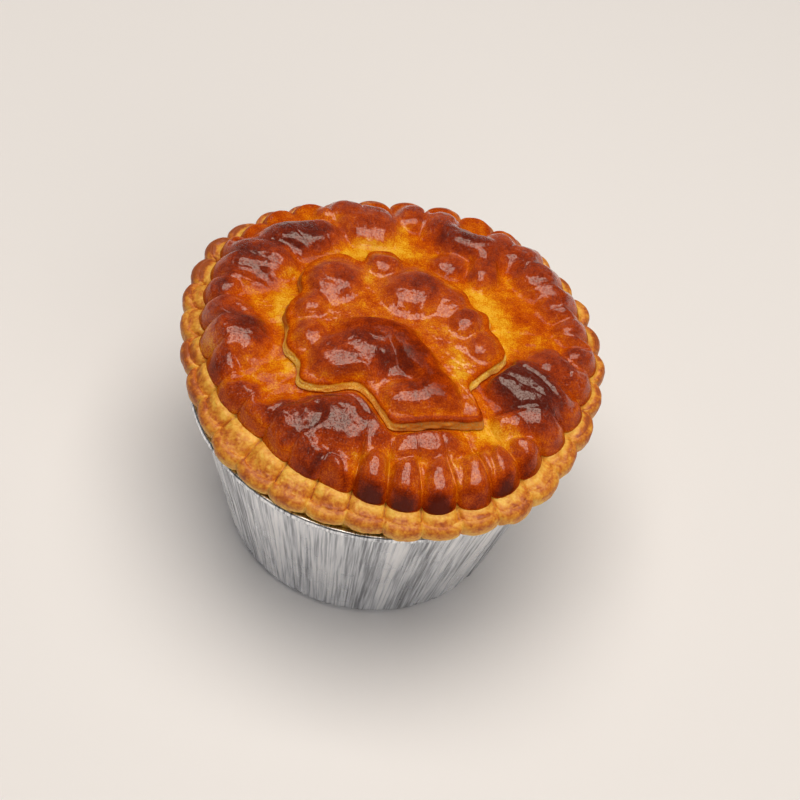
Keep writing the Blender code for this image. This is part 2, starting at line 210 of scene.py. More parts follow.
def unevenness(x, y, z, size, seed=0):
    """Smooth noise from -1 to 1 whose bumps are about size (metres) across."""
    cells = []
    turned = (0.8 * x - 0.6 * y, 0.6 * x + 0.8 * y, z)  # off the axes, so no crease runs along them
    for axis, value in enumerate(turned):
        value = value / size + 17.31 * (seed + 1) + 5.7 * axis  # each seed reads another corner
        low = np.floor(value)
        t = value - low
        cells.append((low.astype(int), t ** 3 * (t * (6.0 * t - 15.0) + 10.0)))
    (ix, tx), (iy, ty), (iz, tz) = cells
    total = 0.0
    for i, j, k in np.ndindex(2, 2, 2):
        share = (tx if i else 1 - tx) * (ty if j else 1 - ty) * (tz if k else 1 - tz)
        total = total + share * LATTICE[(ix + i) % 64, (iy + j) % 64, (iz + k) % 64]
    return total


def crumple(x, y, z, size, seed=0):
    """Three layers of unevenness, each half as wide and half as strong as the last."""
    return sum(unevenness(x, y, z, size / 2 ** n, seed + 3 * n) / 2 ** n for n in range(3)) / 1.75


def ripples(x, y, z, layers, seed):
    """Layers of unevenness added up, each (width, height)."""
    return sum(height * unevenness(x, y, z, width, seed + n) for n, (width, height) in enumerate(layers))


# %% [markdown]
# ## One way to make a skin
#
# All four pieces are rings of points from the middle of the underside, out, up
# and back in to the middle of the top. One function joins such rings with
# quads, closes both ends and stores how brown or glossy each point is, for the
# material to read.

# %% One function that makes a closed skin
def placed(name, data):
    """A new object in the scene."""
    made = bpy.data.objects.new(name, data)
    bpy.context.collection.objects.link(made)
    return made


def skin(name, rows, bottom, top, body="root", attributes=None):
    """A closed mesh from rows of points that run from the bottom out, up and back in."""
    rows = np.asarray(rows)
    count = rows.shape[1]
    points = np.concatenate([rows.reshape(-1, 3), [bottom], [top]])
    low, high = len(points) - 2, len(points) - 1
    i = np.arange(count)
    j = (i + 1) % count
    quads = [np.stack([r * count + i, r * count + j, (r + 1) * count + j, (r + 1) * count + i], 1)
             for r in range(len(rows) - 1)]
    last = (len(rows) - 1) * count
    faces = np.concatenate(quads).tolist()
    faces += np.stack([np.full(count, low), j, i], 1).tolist()
    faces += np.stack([np.full(count, high), last + i, last + j], 1).tolist()
    mesh = bpy.data.meshes.new(name)
    mesh.from_pydata(points.tolist(), [], faces)
    mesh.shade_smooth()
    for label, values in (attributes or {}).items():
        values = np.asarray(values)
        ends = (values[0].mean(), values[-1].mean())
        layer = mesh.attributes.new(label, "FLOAT", "POINT")
        layer.data.foreach_set("value", np.concatenate([values.ravel(), ends]).astype(np.float32))
    piece = placed(name, mesh)
    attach(piece, body)
    print(name, len(faces), "faces")
    return piece


# %% [markdown]
# ## Colours and nodes
#
# Colours are written as sRGB hex values, the way a paint chart gives them, and
# turned into the linear numbers that the renderer works with. One small
# function adds a shader node, sets it and links it. A noise of scale 1 has
# bumps about a metre wide, so each scale here is 1 over a width in metres.

# %% Colour and node helpers
def linear(hex_colour):
    """An sRGB hex colour as linear RGBA."""
    parts = [int(hex_colour[i:i + 2], 16) / 255.0 for i in (1, 3, 5)]
    return (*[p / 12.92 if p <= 0.04045 else ((p + 0.055) / 1.055) ** 2.4 for p in parts], 1.0)


def finish(name):
    """An empty node material."""
    made = bpy.data.materials.new(name)
    made.use_nodes = True
    made.node_tree.nodes.clear()
    return made


def add(material, kind, inputs=None, out=0, stops=None, **settings):
    """Adds a node with its links or values, its settings and a ramp's stops, and gives back one output."""
    made = material.node_tree.nodes.new(kind)
    for key, value in settings.items():
        setattr(made, key, value)
    for socket, value in (inputs or {}).items():
        if isinstance(value, bpy.types.NodeSocket):
            material.node_tree.links.new(value, made.inputs[socket])
        else:
            made.inputs[socket].default_value = value
    if stops:
        ramp = made.color_ramp
        while len(ramp.elements) < len(stops):
            ramp.elements.new(0.5)
        for element, (position, colour) in zip(ramp.elements, stops):
            element.position = position
            element.color = linear(colour)
    return made.outputs[out] if made.outputs else None


def complete(material, surface):
    """Ends a material with its output node."""
    add(material, "ShaderNodeOutputMaterial", {"Surface": surface})
    print(material.name, "with", len(material.node_tree.nodes), "nodes")


# %% [markdown]
# ## Camera and light
#
# The camera looks down from the front, at 48 degrees, and is rolled a little,
# as for the photograph. A softbox about a metre square hangs over the pie and
# makes the pale shapes on the glaze. A weak card behind lifts the far edge, and
# a soft fill comes from the front. Its mirror image is switched off, because
# on the egg wash it would lie like a grey haze.

# %% Camera
CAMERA_AT = (3.904 * MM, -270.314 * MM, 337.773 * MM)
CAMERA_DOWN = 47.84  # degrees below the horizon
CAMERA_ROLL = 11.06  # degrees
LENS = 79.86  # mm, on a sensor 36 mm wide

camera_data = bpy.data.cameras.new("camera")
camera_data.lens = LENS
camera_data.sensor_width = 36.0
camera_data.clip_start = 0.01
camera = placed("camera", camera_data)
camera.location = CAMERA_AT
tilt = Matrix.Rotation(math.radians(90.0 - CAMERA_DOWN), 3, "X")
camera.rotation_euler = (tilt @ Matrix.Rotation(math.radians(CAMERA_ROLL), 3, "Z")).to_euler()
bpy.context.scene.camera = camera
print("camera", round(math.dist(CAMERA_AT, (0, 0, 0.05)) * 100, 1), "cm from the pie")

# %% Paper floor
FLOOR_HALF = 4.0
FLOOR_DROP = 0.05 * MM  # just under the foil, so the two never flicker through each other

floor_mesh = bpy.data.meshes.new("floor")
corners = [(x * FLOOR_HALF, y * FLOOR_HALF, 0.0) for x, y in ((-1, -1), (1, -1), (1, 1), (-1, 1))]
floor_mesh.from_pydata(corners, [], [(0, 1, 2, 3)])
floor = placed("floor", floor_mesh)
floor.location.z = -FLOOR_DROP
floor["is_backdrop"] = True
# Uncoated paper scatters light evenly, so it shows a soft shadow and no reflection
paper = finish("pale studio paper")
sheet = add(paper, "ShaderNodeBsdfPrincipled", {"Base Color": linear("#ebeef6"), "Roughness": 0.9})
complete(paper, sheet)
floor_mesh.materials.append(paper)

# %% Softboxes
LAMP_COLOUR = "#fff2e0"  # a slightly warm white
PIE = (0.0, 0.0, 0.04)


def softbox(name, at, width, depth, watts):
    """A flat rectangular light that looks at the pie."""
    data = bpy.data.lights.new(name, "AREA")
    data.shape = "RECTANGLE"
    data.size, data.size_y = width, depth
    data.energy = watts
    data.color = linear(LAMP_COLOUR)[:3]
    lamp = placed(name, data)
    lamp.location = at
    lamp.rotation_euler = (Vector(PIE) - Vector(at)).to_track_quat("-Z", "Y").to_euler()
    return lamp


softbox("overhead softbox", (0.0, 0.05, 1.0), 0.98, 0.88, 10.5)
softbox("back card", (-0.6, 1.7, 0.35), 2.4, 1.0, 0.8)
softbox("front fill", (0.7, -1.1, 0.8), 1.2, 1.2, 7.0).visible_glossy = False

world = bpy.data.worlds.new("studio")
bpy.context.scene.world = world
world.use_nodes = True
studio = world.node_tree.nodes["Background"]
studio.inputs["Color"].default_value = linear("#e8ecf2")
studio.inputs["Strength"].default_value = 0.07
bpy.context.scene.view_settings.view_transform = "Standard"

# %% [markdown]
# ## Foil cup
#
# The real cup is aluminium foil about a tenth of a millimetre thick, drawn into
# a tapering cup. The flat sheet has too much metal for the smaller base, so the
# wall gathers in fine upright creases, all unequal, and the edge is rolled into
# a band for strength. Bump alone would leave the outline and the bright and
# dark streaks too even, so each crease is a narrow fold in the skin.

# %% Sizes of the cup
GAP = 0.3 * MM  # between pieces that touch
CUP_HEIGHT = 44.0 * MM
CUP_RIM_RADIUS = 44.0 * MM
CUP_BASE_RADIUS = 32.2 * MM
CUP_CORNER = 1.9 * MM
CUP_WALL = 0.4 * MM
RIM_BAND = 1.8 * MM
RIM_ROLL = 1.0 * MM
CREASE_DEPTH = 0.45 * MM
BAND_LEVEL = CUP_HEIGHT - RIM_BAND


def wall_radius(height):
    """Radius of the cup's outer wall at a height, below the rolled rim."""
    top = CUP_RIM_RADIUS - RIM_ROLL
    return CUP_BASE_RADIUS + (top - CUP_BASE_RADIUS) * height / CUP_HEIGHT


def level_ring(turn, radius, height):
    """Points round the cup's axis at one height."""
    return np.stack([radius * np.cos(turn), radius * np.sin(turn), np.full_like(turn, height)], axis=1)


print("cup", 2 * CUP_RIM_RADIUS / MM, "mm across its rim and", CUP_HEIGHT / MM, "mm deep")

# %% Upright folds
FOIL_COLUMNS = 1400  # 0.2 mm each at the rim
FOIL_SEED = 11
FOIL_FOLDS = (  # how many, half width at the rim from and to, depth of the deepest
    (260, 0.44 * MM, 1.32 * MM, 0.34 * MM),
    (520, 0.22 * MM, 0.528 * MM, 0.14 * MM),
)
FOLD_LIMIT = CREASE_DEPTH + 0.25 * MM  # where folds cross they go no deeper
FOLD_LEAN = 0.035  # radians that a fold may wander from foot to rim


def upright_folds(turns, heights, seed, count, narrow, wide, deep):
    """Depth of upright folds, each with its own place, width, lean and length."""
    draw = random.Random(seed)
    field = np.zeros((len(heights), len(turns)))
    for _ in range(count):
        at = draw.uniform(0.0, math.tau)
        width = draw.uniform(narrow, wide) / CUP_RIM_RADIUS
        depth = draw.uniform(0.25, 1.0) * deep
        lean = draw.uniform(-FOLD_LEAN, FOLD_LEAN)
        low, high = draw.uniform(-0.5, 0.55), draw.uniform(0.45, 1.5)  # from 0 at the foot to 1 at the rim
        across = (turns[None, :] - at - lean * heights[:, None] + math.pi) % math.tau - math.pi
        fold = np.maximum(0.0, 1.0 - np.abs(across) / width) ** 1.3
        here = blend(low, low + 0.2, heights) * (1.0 - blend(high - 0.2, high, heights))
        field += depth * fold * here[:, None]
    return field


def wall_folds(turns, height):
    """The folds of the wall, fading out at the foot and just under the rim band."""
    level = np.clip((height - CUP_CORNER) / (BAND_LEVEL - CUP_CORNER), 0.0, 1.0)
    depth = sum(upright_folds(turns, level, FOIL_SEED + n, *sizes) for n, sizes in enumerate(FOIL_FOLDS))
    fade = blend(0.1 * MM, 3.0 * MM, height) * blend(0.2 * MM, 2.5 * MM, BAND_LEVEL - height)
    return np.minimum(depth, FOLD_LIMIT) * fade[:, None]


print(sum(sizes[0] for sizes in FOIL_FOLDS), "folds in the foil")

# %% Dents and crinkles
DENT_LAYERS = ((7.0 * MM, 0.10 * MM), (2.2 * MM, 0.05 * MM))  # width and height
PUCKER = 0.16 * MM  # gathered metal round the foot
RIM_LINES = (0.5 * MM, 1.15 * MM)  # heights on the band where the roller left a line
RIM_LINE_DEPTH = 0.09 * MM
RIM_CRINKLE = 0.08 * MM


def foil_dents(x, y, radius, height):
    """Depth of the dents in the foil: soft all over, puckered at the foot, crinkled on the rim band."""
    z = np.repeat(height[:, None], x.shape[1], axis=1)
    dents = ripples(x * radius[:, None], y * radius[:, None], z, DENT_LAYERS, 2)
    at_foot = (1.0 - blend(0.6 * CUP_CORNER, CUP_CORNER + 4.0 * MM, height))[:, None]
    dents += PUCKER * at_foot * unevenness(x * 30 * MM, y * 30 * MM, z * 0.4, 1.1 * MM, 4)
    on_rim = blend(BAND_LEVEL, BAND_LEVEL + 0.2 * MM, height)
    lines = sum(np.exp(-((height - BAND_LEVEL - at) / (0.13 * MM)) ** 2) for at in RIM_LINES)
    broken = 1.0 + unevenness(x * 60 * MM, y * 60 * MM, z, 0.9 * MM, 15)
    dents += (on_rim * RIM_LINE_DEPTH * lines)[:, None] * broken
    dents += RIM_CRINKLE * on_rim[:, None] * unevenness(x * 44 * MM, y * 44 * MM, z, 1.1 * MM, 16)
    return np.maximum(dents, -0.05 * MM) * blend(0.0, 0.8 * MM, height)[:, None]


# %% Foil cup skin
def foil_profile():
    """Radius and height of the cup's outside, from its base to the top of its rim."""
    corner = [(CUP_BASE_RADIUS - CUP_CORNER * (1.0 - math.sin(a)) * 0.97, CUP_CORNER * (1.0 - math.cos(a)))
              for a in np.linspace(0.05, 1.25, 7)]
    wall = [(wall_radius(z), z) for z in np.linspace(CUP_CORNER, BAND_LEVEL, 44)[:-1]]
    seam = [(CUP_RIM_RADIUS - RIM_ROLL - 0.12 * MM, BAND_LEVEL)]
    roll = [(CUP_RIM_RADIUS - RIM_ROLL + RIM_ROLL * math.cos(a) ** 0.6,
             BAND_LEVEL + 0.5 * RIM_BAND * (1.0 + math.sin(a))) for a in np.linspace(-1.5, 1.35, 22)]
    return np.array(corner + wall + seam + roll).T


def make_foil():
    """The cup as one skin: its creased outside, and a smooth lining that the pastry hides."""
    turns = math.tau * np.arange(FOIL_COLUMNS) / FOIL_COLUMNS
    x, y = np.cos(turns)[None, :], np.sin(turns)[None, :]
    radius, height = foil_profile()
    r = radius[:, None] - wall_folds(turns, height) - foil_dents(x, y, radius, height)
    z = np.repeat(height[:, None], FOIL_COLUMNS, axis=1)
    outside = np.stack([x * r, y * r, z], axis=2)
    inset = CUP_WALL + CREASE_DEPTH
    lining = ((CUP_RIM_RADIUS - RIM_ROLL - CUP_WALL, CUP_HEIGHT - 0.3 * MM),
              (wall_radius(BAND_LEVEL) - CUP_WALL - 0.3 * MM, BAND_LEVEL),
              (wall_radius(0.5 * CUP_HEIGHT) - inset, 0.5 * CUP_HEIGHT),
              (CUP_BASE_RADIUS - inset, CUP_CORNER), (CUP_BASE_RADIUS - CUP_CORNER, CUP_WALL))
    inside = [level_ring(turns, *place) for place in lining]
    cup = skin("foil_skin", np.concatenate([outside, inside]), (0, 0, 0), (0, 0, CUP_WALL))
    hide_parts("foil_cup")
    return cup


foil_cup = make_foil()

# %% [markdown]
# ### Aluminium foil finish
#
# Rolled aluminium foil is bright, with a satin drag from the rollers and from
# the press. A metal takes its look from what it reflects. Its base colour stays
# near white and is painted grey in upright streaks and broad bands: a painted
# reflection of dark surroundings, and painted shade in creases too fine for the
# mesh. The roughness varies from patch to patch, and upright scratches stretch
# each reflection. Real ones are finer than a tenth of a millimetre, which the
# render can't show, so they are drawn 0.4 mm wide.

# %% Rolled aluminium foil
SCRATCH_WIDTH = 0.4 * MM  # at the rim, and 10 mm tall
# painted reflection: grey upright streaks in the foil's colour, for dark reflections and shade in fine
# creases
REFLECTION_STREAK_WIDTH = 0.5867 * MM  # 15 mm tall
# painted reflection: broad lighter and darker bands in the foil's colour
REFLECTION_BAND_WIDTH = 8.8 * MM  # broad lighter and darker parts, from foot to rim
SMUDGE_WIDTH = 6.25 * MM  # duller and brighter patches
UPRIGHT_RATE = 0.9  # how slowly the pattern changes with height
# grey to white colours of the painted reflection
FOIL_REFLECTION_STOPS = ((0.58, "#92949a"), (0.70, "#c1c4ca"), (0.82, "#e6e9ee"), (0.94, "#fafbfd"))

foil = finish("rolled aluminium foil")
place = add(foil, "ShaderNodeTexCoord", out="Object")
plan = add(foil, "ShaderNodeVectorMath", {0: place, 1: (1.0, 1.0, 0.0)}, operation="MULTIPLY")
turn = add(foil, "ShaderNodeVectorMath", {0: plan}, operation="NORMALIZE")
upright = add(foil, "ShaderNodeVectorMath", {0: place, 1: (0.0, 0.0, UPRIGHT_RATE), 2: turn},
              operation="MULTIPLY_ADD")
scratches, reflection_streaks, reflection_bands = (
    add(foil, "ShaderNodeTexNoise", {"Vector": upright, "Scale": CUP_RIM_RADIUS / width, "Detail": detail})
    for width, detail in ((SCRATCH_WIDTH, 3.0), (REFLECTION_STREAK_WIDTH, 3.0), (REFLECTION_BAND_WIDTH, 1.0)))
smudges = add(foil, "ShaderNodeTexNoise", {"Vector": place, "Scale": 1.0 / SMUDGE_WIDTH, "Detail": 3.0})
drag = add(foil, "ShaderNodeBump", {"Height": scratches, "Strength": 0.35, "Distance": 0.1 * MM})
satin = add(foil, "ShaderNodeMapRange", {"Value": smudges, "From Min": 0.3, "From Max": 0.7,
                                         "To Min": 0.24, "To Max": 0.36})
# painted reflection and painted shade: streaks and bands grey the foil's base colour
painted_reflection = add(foil, "ShaderNodeMath", {0: reflection_bands, 1: 0.6, 2: reflection_streaks}, operation="MULTIPLY_ADD")
reflection_colour = add(foil, "ShaderNodeValToRGB", {"Fac": painted_reflection}, stops=FOIL_REFLECTION_STOPS)
metal = add(foil, "ShaderNodeBsdfPrincipled", {"Base Color": reflection_colour, "Metallic": 1.0,
                                               "Roughness": satin, "Normal": drag})
complete(foil, metal)
foil_cup.data.materials.append(foil)

# %% [markdown]
# ## Pastry case
#
# The bottom pastry fills the cup and folds out over its rim, and the lid's
# fingers are pinched onto it. What shows is the ring outside the fingers: round
# scallops with thin cuts between them, grainy, and browner where they stand up.
# One skin runs from the hidden body, round the scallops and in under the lid.

# %% Sizes of the flange and the lid's seat
FLANGE_TOP = 1.0 * MM
FLANGE_DROP = 4.2 * MM
FLANGE_TAPER = 0.6 * MM
FLANGE_UNDERCUT = 0.6 * MM  # drawn in this much more below, for a shadow above the foil
FLANGE_ROUND = 2.0 * MM
FLANGE_WAIST = 1.0 * MM
SHOULDER_SHARE = 0.42  # the rounding takes no more of a narrow flange than this
CRIMP_RISE = 0.5 * MM  # how much higher a scallop's back stands
FLANGE_GROOVE = 0.7 * MM
CUT_DEPTH = 0.7 * MM  # the sharp cut at the bottom of the groove
LID_SEAT = 1.3 * MM
LID_SEAT_RISE = 2.9 * MM
TOASTED_ARCS = ((160, 40, 70, 0.10), (10, 20, 50, 0.12))  # the whole edge is browner here
TOASTED_BACKS = ((158, 9, 18, 0.40), (-163, 4, 9, 0.20), (95, 30, 50, 0.25))  # only scallops' backs
CASE_BASE = CUP_WALL + GAP
NECK_LEVEL = CUP_HEIGHT + 2 * GAP


def lid_seat(angle, part, lowered=0.0):
    """Points on the lid's underside, or below it by the given distance."""
    x, y = lid_point(angle, part * tip_radius(angle))
    z = edge_level(x, y) + LID_SEAT + LID_SEAT_RISE * (1.0 - part * part) - lowered
    return np.stack([x, y, z], axis=-1)


def flange_form(angle):
    """The lines that the flange's profile hangs on, and where it is toasted."""
    edge, tip, ridge = edge_radius(angle), tip_radius(angle), crest(angle)
    level = edge_level(*lid_point(angle, edge)) + edge_lift(angle)
    return SimpleNamespace(
        edge=edge, tip=tip, ridge=ridge, level=level, low=np.maximum(level - FLANGE_DROP, NECK_LEVEL),
        waist=level - FLANGE_WAIST, rise=FLANGE_TOP + CRIMP_RISE * ridge,
        shoulder=np.minimum(FLANGE_ROUND, SHOULDER_SHARE * (edge - tip)),
        arcs=over_arcs(angle, TOASTED_ARCS), backs=ridge * over_arcs(angle, TOASTED_BACKS))


flange = flange_form(COLUMN_ANGLES)

# %% Hidden body of the case
def case_body(angle):
    """Rows of the hidden pastry, from its underside up to the neck."""
    x, y = lid_point(angle, flange.edge)
    turn = np.arctan2(y, x)
    inset = CUP_WALL + CREASE_DEPTH + GAP
    profile = ((CUP_BASE_RADIUS - CUP_CORNER - inset, CASE_BASE),
               (wall_radius(CUP_CORNER) - inset, CASE_BASE + 0.6 * CUP_CORNER),
               (wall_radius(0.5 * CUP_HEIGHT) - inset, 0.5 * CUP_HEIGHT),
               (wall_radius(BAND_LEVEL) - inset, BAND_LEVEL - 2 * MM),
               (CUP_RIM_RADIUS - RIM_ROLL - CUP_WALL - GAP, NECK_LEVEL))
    return [(level_ring(turn, *place), 0.0 * turn) for place in profile]


# %% Scallops of the flange
ROOF_RINGS = (0.985, 0.9, 0.58, 0.30)  # of the case's top under the lid
SIDE_FLAKES = (2.4 * MM, 0.30 * MM)  # width and height of the rubbed flakes
TOP_FLAKES = (3.2 * MM, 0.40 * MM)
TOP_CRUMBS = (0.8 * MM, 0.11 * MM)


def flange_side(angle):
    """Rows of the round outer side and how toasted they are, from the foot to the shoulder."""
    for turn_up in np.radians(np.linspace(-90, 90, 17)):
        up = math.sin(turn_up)
        inward = (FLANGE_TAPER + FLANGE_UNDERCUT if up < 0 else flange.shoulder) * (1.0 - math.cos(turn_up))
        reach = flange.waist - flange.low if up < 0 else flange.level + 0.5 * flange.rise - flange.waist
        height = flange.waist + reach * up
        x, y = lid_point(angle, flange.edge - inward)
        rough = crumple(x, y, height, SIDE_FLAKES[0], 5) * SIDE_FLAKES[1]
        x, y = lid_point(angle, flange.edge - inward - np.maximum(rough, -0.05 * MM))
        toast_and_shade = 0.18 + 0.36 * flange.ridge * blend(-0.6, 0.3, up) + rough / MM + flange.arcs + flange.backs
        yield np.stack([x, y, height + rough], axis=1), toast_and_shade


def flange_top(angle):
    """Rows of the top, how toasted they are and painted shade in the cuts, from the shoulder in to the finger
    tips.
    """
    outer = flange.edge - flange.shoulder
    for share in np.linspace(0.0, 1.0, 40)[1:]:
        x, y = lid_point(angle, outer + (flange.tip - outer) * share)
        lift = edge_lift(angle) * (1.0 - blend(0.0, 0.75, share))
        valley = (1.0 - flange.ridge) ** 4
        cut = ((1.0 - flange.ridge) * FLANGE_GROOVE + valley * CUT_DEPTH) * (1.0 - 0.3 * share)
        height = edge_level(x, y) + lift + (0.5 + 0.5 * share) * flange.rise - cut
        rough = crumple(x, y, height, TOP_FLAKES[0], 5) * TOP_FLAKES[1] * (1.0 - 0.6 * share)
        rough += unevenness(x, y, height, TOP_CRUMBS[0], 9) * TOP_CRUMBS[1]
        toast_and_shade = (0.26 + 0.30 * flange.ridge) * (1.0 - 0.8 * blend(0.15, 0.75, share)) + 0.9 * rough / MM
        # painted shade: the valley term colours the cuts between scallops darker, as the shade in them
        toast_and_shade += 0.5 * valley + flange.arcs + flange.backs * (1.0 - blend(0.2, 0.7, share))
        yield np.stack([x, y, height + rough], axis=1), toast_and_shade


# %% Pastry case skin
def make_case():
    """The case as one skin, with how toasted each point is and painted shade in the cuts."""
    angle = COLUMN_ANGLES
    rings = [*case_body(angle), *flange_side(angle), *flange_top(angle)]
    rings += [(lid_seat(angle, part, lowered=GAP + 0.1 * MM), 0.0 * angle) for part in ROOF_RINGS]
    rows, toast_and_shade = zip(*rings)
    case = skin("baked_case", rows, (0, 0, CASE_BASE), lid_seat(0.0, 0.0, lowered=GAP),
                attributes={"toast_and_shade": toast_and_shade})
    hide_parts("pastry_case")
    return case


case = make_case()

# %% [markdown]
# ### Bare shortcrust finish
#
# Shortcrust without egg wash bakes matte and pale, with a grain of fat and
# flour about half a millimetre across, toasted orange-brown where it stands up.
# Melted fat leaves a faint sheen, made by a weak coat, and a little light goes
# through the surface, so its shadows are warm.

# %% Bare shortcrust
PATCH_WIDTH = 1.923 * MM  # toasted patches
GRAIN_WIDTH = 0.5882 * MM  # fat and flour
TOAST_SHIFT = -0.93  # takes off most of what the two noises add on average
SHORTCRUST_STOPS = ((0.0, "#ecc054"), (0.3, "#e0a43a"), (0.55, "#d08622"), (0.8, "#b86012"), (1.0, "#9c4a12"))

shortcrust = finish("bare shortcrust")
place = add(shortcrust, "ShaderNodeTexCoord", out="Object")
# toast, and painted shade in the cuts
toast_and_shade = add(shortcrust, "ShaderNodeAttribute", out="Fac", attribute_name="toast_and_shade")
patches = add(shortcrust, "ShaderNodeTexNoise", {"Vector": place, "Scale": 1.0 / PATCH_WIDTH, "Detail": 5.0})
grain = add(shortcrust, "ShaderNodeTexNoise", {"Vector": place, "Scale": 1.0 / GRAIN_WIDTH, "Detail": 3.0})
mottled = add(shortcrust, "ShaderNodeMath", {0: patches, 1: 1.25, 2: toast_and_shade}, operation="MULTIPLY_ADD")
speckled = add(shortcrust, "ShaderNodeMath", {0: grain, 1: 0.9, 2: mottled}, operation="MULTIPLY_ADD")
toast_and_shade_level = add(shortcrust, "ShaderNodeMath", {0: speckled, 1: TOAST_SHIFT}, operation="ADD")
crust_colour = add(shortcrust, "ShaderNodeValToRGB", {"Fac": toast_and_shade_level}, stops=SHORTCRUST_STOPS)
pores = add(shortcrust, "ShaderNodeBump", {"Height": grain, "Strength": 0.6, "Distance": 0.25 * MM})
dough = add(shortcrust, "ShaderNodeBsdfPrincipled", {
    "Base Color": crust_colour, "Roughness": 0.62, "Normal": pores,
    "Coat Weight": 0.2, "Coat Roughness": 0.22, "Subsurface Weight": 0.15,
    "Subsurface Radius": (1.0, 0.5, 0.2), "Subsurface Scale": 1.0 * MM})
complete(shortcrust, dough)
case.data.materials.append(shortcrust)

# %% [markdown]
# ## Outline of the cut-out
#
# The lid's blisters keep clear of the leaf of dough that lies on it, so the
# leaf's outline comes first. It was cut freehand: a smooth curve through one
# point for each turn of the knife.

# %% Curves and distances
def curve_through(points, steps, closed=True):
    """A smooth curve through points given in millimetres, with this many steps between two."""
    p = np.array(points, dtype=float) * MM
    p = np.concatenate([p[-1:], p, p[:2]] if closed else [p[:1], p, p[-1:]])
    a, b, c, d = (p[k:len(p) - 3 + k, None, :] for k in range(4))
    t = (np.arange(steps) / steps)[None, :, None]
    curve = 0.5 * (2 * b + (c - a) * t + (2 * a - 5 * b + 4 * c - d) * t ** 2
                   + (3 * b - a - 3 * c + d) * t ** 3).reshape(-1, 2)
    return curve if closed else np.concatenate([curve, p[-1:]])


def path_distance(x, y, path):
    """Distance from each point to the nearest stretch of a path."""
    nearest = np.full(x.shape, np.inf)
    for (ax, ay), (bx, by) in zip(path, path[1:]):
        dx, dy = bx - ax, by - ay
        t = np.clip(((x - ax) * dx + (y - ay) * dy) / (dx * dx + dy * dy), 0.0, 1.0)
        nearest = np.minimum(nearest, np.hypot(x - ax - t * dx, y - ay - t * dy))
    return nearest


def outline_distance(x, y, outline):
    """Distance to a closed outline, negative inside it."""
    path = np.concatenate([outline, outline[:1]])
    inside = np.zeros(x.shape, dtype=bool)
    for (ax, ay), (bx, by) in zip(path, path[1:]):
        if ay != by:
            inside ^= ((ay > y) != (by > y)) & (x < ax + (y - ay) * (bx - ax) / (by - ay))
    nearest = path_distance(x, y, path)
    return np.where(inside, -nearest, nearest)


# %% Outline of the leaf, in millimetres
CUTOUT_OUTLINE = (
    (24.5, 1), (23, 5.5), (20.5, 8), (19.5, 12), (16, 13.5), (13.5, 17.5), (8, 20.5),
    (2.5, 23.5), (-1, 23), (-4.5, 25.5), (-9, 24.5), (-10.5, 20.5), (-15.5, 22),
    (-21, 18.5), (-23, 13), (-22, 8.5), (-24, 4.5), (-24, 0.5), (-22.8, -3), (-22.5, -7.5),
    (-18.8, -11.5), (-17.6, -16.2), (-12, -16.6), (-6, -14.6), (-2.2, -17), (1, -20.6),
    (4.2, -22.8), (12.5, -20.2), (21.5, -17.4), (20.5, -13.5), (18, -9.5), (20, -5.5),
)
CUTOUT_STEPS = 20  # points of the skin between two outline points
CUTOUT_MARGIN = 0.3 * MM  # the lid stays flat this far from the leaf
CUTOUT_APPROACH = 3.2 * MM  # and has its full blisters from here
OUTLINE = curve_through(CUTOUT_OUTLINE, CUTOUT_STEPS)
COARSE_OUTLINE = OUTLINE[::CUTOUT_STEPS // 4]
print("cut-out", ((OUTLINE.max(0) - OUTLINE.min(0)) / MM).round(1), "mm")

# %% [markdown]
# ## Lid
#
# The lid is one sheet of dough, egg-washed and baked hard, so steam puffed it
# into glossy blisters. Its edge is pinched into fingers that reach furthest in
# at the front. Each blister is an oval, and a soft maximum joins them. The skin
# follows the CAD blisters and adds small folds and ripples.

# %% Blisters
# Middle x and y, half length and half width in mm, turn in degrees, height in mm
LID_BLISTERS = (
    (-26, 27, 13, 8.5, 15, 4.2), (-35, 17.5, 12, 10, 10, 4.2), (-41, 9.5, 7, 5.5, 0, 2.8),
    (-37.5, -5.5, 14, 10, -8, 4.6), (-38.5, 3, 8, 5, -15, 2.8), (-38, -14, 8.5, 6.5, 10, 3.2),
    (-31, -21, 8, 6.5, 25, 2.8), (-26.5, -26, 7, 6, 40, 2.6),
    (-7, -24, 15, 11.5, -5, 4.3), (-18, -27, 10, 8.5, -30, 3.6), (-14, -34, 8.5, 6.5, -30, 2.8),
    (-8, -36, 6, 6, 0, 3.0), (11, -25, 11, 6.5, 5, 3.0), (2, -36.5, 5, 9, 0, 3.0),
    (9.2, -36, 5, 8.5, -5, 3.0), (16.4, -34.5, 4.8, 9.5, -3, 3.0), (23.5, -31.5, 4.8, 8.5, 8, 2.8),
    (30, -27, 5.5, 8, 30, 3.0), (34.5, -22, 6.5, 5.5, -35, 2.8), (37.5, -14.5, 7.5, 6, -15, 2.8),
    (31.5, -5, 13.5, 10.5, -22, 5.0), (32, -13.5, 11, 5.5, 20, 3.3), (36, 3, 9, 6, -25, 4.0),
    (43, 8, 6.5, 5, 12, 2.8), (42.5, 1.5, 5, 5, 0, 2.4), (41, 16.5, 8, 6, 20, 3.0),
    (36.5, 23.5, 8.5, 6.5, 30, 3.4), (31, 29.5, 8.5, 8, 50, 3.8), (27, 36, 7, 6.5, 50, 3.2),
    (12.5, 35, 11.5, 6.5, -20, 4.4), (17, 27.5, 4.6, 8, -5, 3.4), (9, 27, 6, 5.5, 0, 2.0),
    (20.5, 37, 7.5, 7, 0, 3.2), (-11, 36, 11, 9.5, 5, 4.0), (-1.5, 42, 6, 6, 0, 3.0),
    (5.5, 40.5, 7, 6.5, 0, 3.2), (-18, 40, 8, 6, 30, 2.8),
)
BLISTER_ROUND = 0.8  # below 1 the top is flat and the side steep
